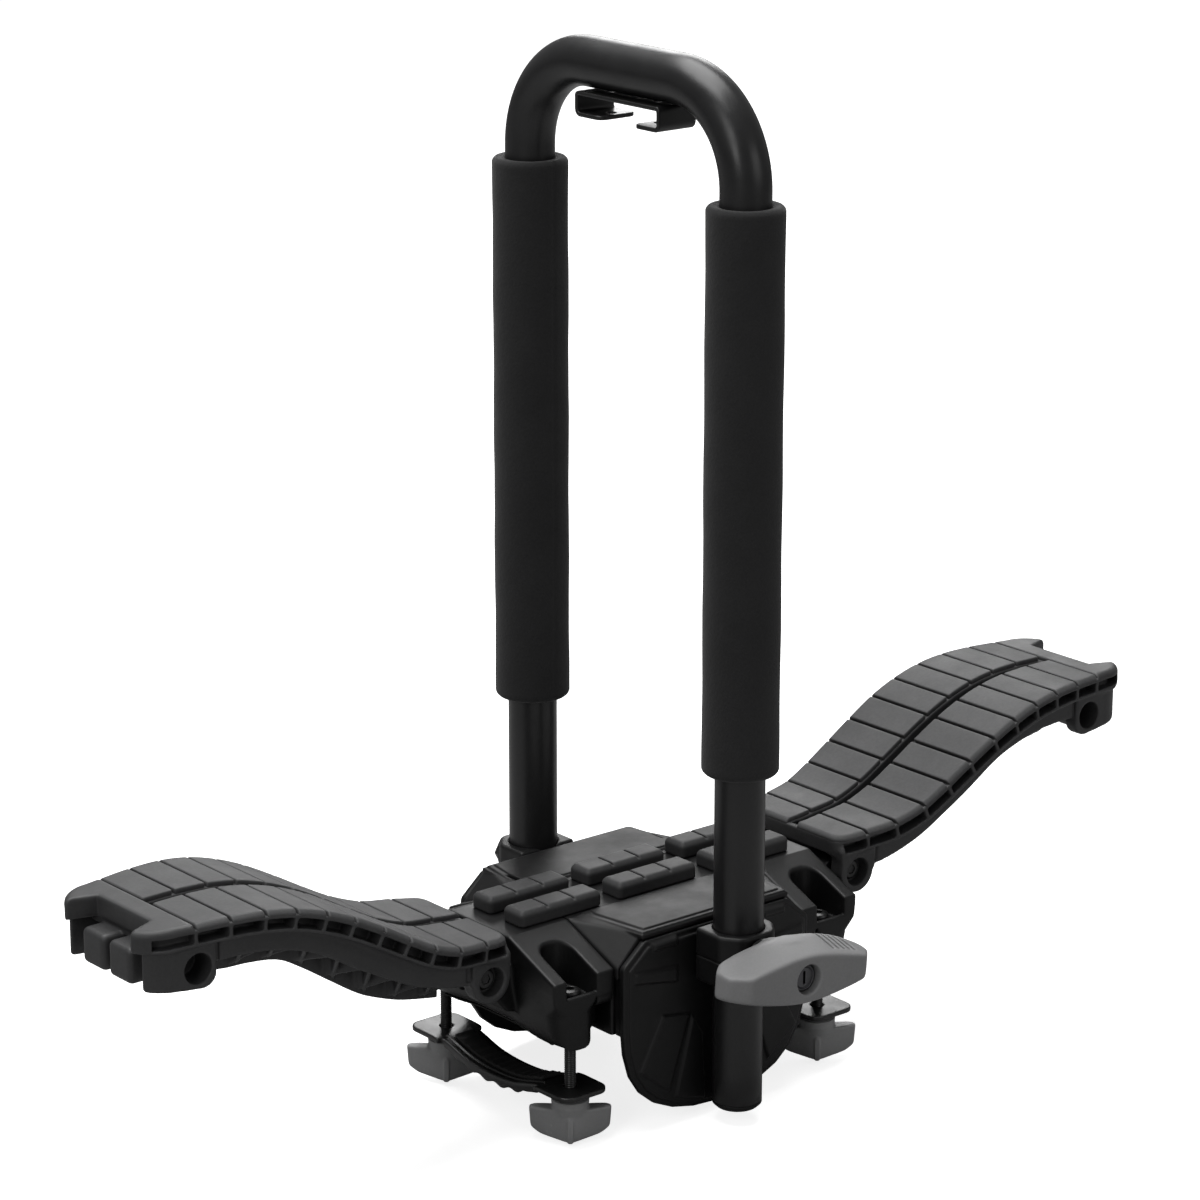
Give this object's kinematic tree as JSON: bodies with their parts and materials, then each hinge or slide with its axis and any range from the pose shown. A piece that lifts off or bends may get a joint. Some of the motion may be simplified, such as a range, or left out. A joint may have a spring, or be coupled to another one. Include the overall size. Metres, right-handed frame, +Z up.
{
  "type": "folding roof-mounted kayak and board carrier",
  "caption": "Crossbar-mounted boat and board carrier: a folding padded hoop mast on a clamped base, with two hinged S-curved support wings.",
  "frame": {"origin": "centre of the crossbar contact plane, under the middle of the base, where its foot meets the bar", "axes": "+X along the crossbar towards the right wing, +Y along the vehicle away from the tee knob, +Z up"},
  "size_m": [0.6514, 0.2415, 0.5364],
  "materials": {
    "tube_paint": "satin black powder coat",
    "foam": "matt closed-cell foam",
    "base_plastic": "fine moulded grain",
    "deck_plastic": "fine moulded grain",
    "wing_plastic": "moulded grain",
    "tread_rubber": "matt overmoulded rubber",
    "pad_rubber": "matt moulded rubber",
    "knob_plastic": "satin moulded grey",
    "black_steel": "black e-coat",
    "zinc_steel": "zinc plate",
    "brass": "turned",
    "liner_rubber": "matt rubber"
  },
  "bodies": {
    "base": {"base_housing": "base_plastic", "deck_cover": "deck_plastic", "saddle_left": "base_plastic", "saddle_right": "base_plastic", "seat_liner_left": "liner_rubber", "seat_liner_right": "liner_rubber", "deck_pad_front_left": "pad_rubber", "deck_pad_front_middle": "pad_rubber", "deck_pad_front_right": "pad_rubber", "deck_pad_rear_left": "pad_rubber", "deck_pad_rear_middle": "pad_rubber", "deck_pad_rear_right": "pad_rubber", "pivot_plate_front": "base_plastic", "pivot_plate_rear": "base_plastic", "pivot_bolt": "black_steel", "pivot_washer_rear": "black_steel", "clamp_bolt_front_left": "black_steel", "clamp_bolt_front_right": "black_steel", "clamp_bolt_rear_left": "black_steel", "clamp_bolt_rear_right": "black_steel", "wing_pin_left": "black_steel", "wing_pin_right": "black_steel"},
    "mast": {"mast_tube": "tube_paint", "foam_sleeve_front": "foam", "foam_sleeve_rear": "foam", "leg_collar_front": "base_plastic", "leg_collar_rear": "base_plastic", "leg_plug_front": "base_plastic", "leg_plug_rear": "base_plastic", "strap_hook": "black_steel", "hook_rivet_front": "black_steel", "hook_rivet_rear": "black_steel"},
    "knob_carriage": {"knob_washer": "black_steel"},
    "tee_knob": {"tee_knob": "knob_plastic", "knob_nut": "brass"},
    "lock_core": {"lock_core": "zinc_steel"},
    "wing_left": {"wing_frame_left": "wing_plastic", "wing_tread_left_front": "tread_rubber", "wing_tread_left_rear": "tread_rubber"},
    "wing_right": {"wing_frame_right": "wing_plastic", "wing_tread_right_front": "tread_rubber", "wing_tread_right_rear": "tread_rubber"},
    "strap_left": {"clamp_strap_left": "black_steel", "strap_grip_left": "liner_rubber"},
    "strap_right": {"clamp_strap_right": "black_steel", "strap_grip_right": "liner_rubber"},
    "clamp_knob_front_left": {"clamp_knob_front_left": "knob_plastic"},
    "clamp_knob_front_right": {"clamp_knob_front_right": "knob_plastic"},
    "clamp_knob_rear_left": {"clamp_knob_rear_left": "knob_plastic"},
    "clamp_knob_rear_right": {"clamp_knob_rear_right": "knob_plastic"}
  },
  "joints": [
    {"name": "mast_fold", "type": "hinge", "parent": "base", "child": "mast", "pos_m": [0, 0, 0.0382], "axis": [0, 1, 0], "range_deg": [-90, 90]},
    {"name": "wing_tilt_left", "type": "hinge", "parent": "base", "child": "wing_left", "pos_m": [-0.1223, 0, 0.0382], "axis": [0, 1, 0], "range_deg": [-10, 20]},
    {"name": "wing_tilt_right", "type": "hinge", "parent": "base", "child": "wing_right", "pos_m": [0.1223, 0, 0.0382], "axis": [0, -1, 0], "range_deg": [-10, 20]},
    {"name": "tee_knob_travel", "type": "slide", "parent": "base", "child": "knob_carriage", "axis": [0, -1, 0], "range_m": [0, 0.0038]},
    {"name": "tee_knob_turn", "type": "hinge", "parent": "knob_carriage", "child": "tee_knob", "pos_m": [0, -0.12, 0.0382], "axis": [0, -1, 0], "range_deg": [0, 1080]},
    {"name": "lock_core_turn", "type": "hinge", "parent": "tee_knob", "child": "lock_core", "pos_m": [0, -0.127, 0.0382], "axis": [0, -1, 0], "range_deg": [0, 90]},
    {"name": "strap_rise_left", "type": "slide", "parent": "base", "child": "strap_left", "axis": [0, 0, 1], "range_m": [0, 0.01]},
    {"name": "clamp_knob_turn_front_left", "type": "hinge", "parent": "strap_left", "child": "clamp_knob_front_left", "pos_m": [-0.0832, -0.0506, -0.039], "axis": [0, 0, 1], "range_deg": [0, 3600]},
    {"name": "clamp_knob_turn_rear_left", "type": "hinge", "parent": "strap_left", "child": "clamp_knob_rear_left", "pos_m": [-0.0832, 0.0506, -0.039], "axis": [0, 0, 1], "range_deg": [0, 3600]},
    {"name": "strap_rise_right", "type": "slide", "parent": "base", "child": "strap_right", "axis": [0, 0, 1], "range_m": [0, 0.01]},
    {"name": "clamp_knob_turn_front_right", "type": "hinge", "parent": "strap_right", "child": "clamp_knob_front_right", "pos_m": [0.0832, -0.0506, -0.039], "axis": [0, 0, 1], "range_deg": [0, 3600]},
    {"name": "clamp_knob_turn_rear_right", "type": "hinge", "parent": "strap_right", "child": "clamp_knob_rear_right", "pos_m": [0.0832, 0.0506, -0.039], "axis": [0, 0, 1], "range_deg": [0, 3600]}
  ],
  "couplings": [
    {"joint": "tee_knob_travel", "follows": "tee_knob_turn", "m_per_rad": 0.00019894},
    {"joint": "clamp_knob_turn_front_left", "follows": "strap_rise_left", "rad_per_m": 6283.2},
    {"joint": "clamp_knob_turn_rear_left", "follows": "strap_rise_left", "rad_per_m": 6283.2},
    {"joint": "clamp_knob_turn_front_right", "follows": "strap_rise_right", "rad_per_m": 6283.2},
    {"joint": "clamp_knob_turn_rear_right", "follows": "strap_rise_right", "rad_per_m": 6283.2}
  ]
}
